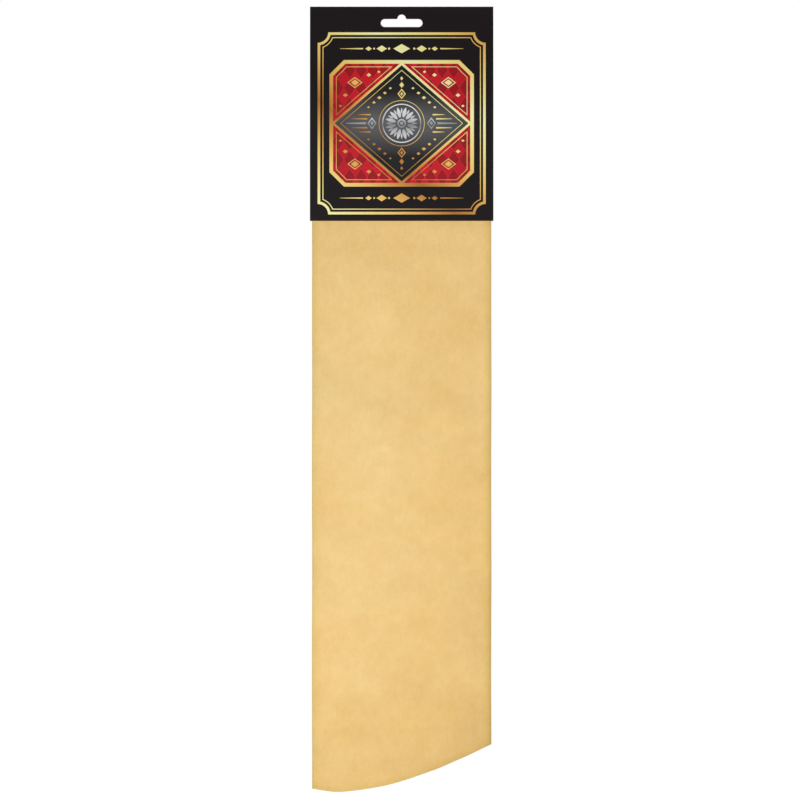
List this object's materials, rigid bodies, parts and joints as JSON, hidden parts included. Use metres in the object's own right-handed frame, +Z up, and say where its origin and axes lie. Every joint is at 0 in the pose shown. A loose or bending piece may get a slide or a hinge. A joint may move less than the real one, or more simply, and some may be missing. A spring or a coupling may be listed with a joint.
{
  "type": "folded chamois leather on a hanging header card",
  "caption": "Natural chamois skin folded lengthwise and over the top into a long strip, stapled inside a fold-over card with a hang slot; card front and leather swing and lift.",
  "frame": {"origin": "top centre of the hang slot, where a display peg bears, on the back face of the card", "axes": "+Z up along the hanging strip, the front of the card faces -Y, +X to the right seen from the front"},
  "size_m": [0.1396, 0.0116, 0.5984],
  "materials": {
    "chamois": "soft suede nap, oil tanned, pale golden buff",
    "printed_card": "black coated board with gold, red and grey print",
    "staple_wire": "galvanised wire"
  },
  "bodies": {
    "header": {"card_back_panel": "printed_card", "staple_left": "staple_wire", "staple_right": "staple_wire", "chamois_top_fold": "chamois"},
    "card_front": {"card_front_panel": "printed_card"},
    "strip": {"chamois_front_neck": "chamois", "chamois_back_half": "chamois"},
    "front_half": {"chamois_front_half": "chamois"}
  },
  "joints": [
    {"name": "card_front_lift", "type": "hinge", "parent": "header", "child": "card_front", "pos_m": [0, -0.00065, 0.00555], "axis": [-1, 0, 0], "range_deg": [0, 175]},
    {"name": "strip_swing", "type": "hinge", "parent": "header", "child": "strip", "pos_m": [0, -0.00545, -0.1633], "axis": [1, 0, 0], "range_deg": [-90, 90]},
    {"name": "front_half_lift", "type": "hinge", "parent": "strip", "child": "front_half", "pos_m": [0, -0.00785, -0.182], "axis": [1, 0, 0], "range_deg": [-90, 0]}
  ]
}
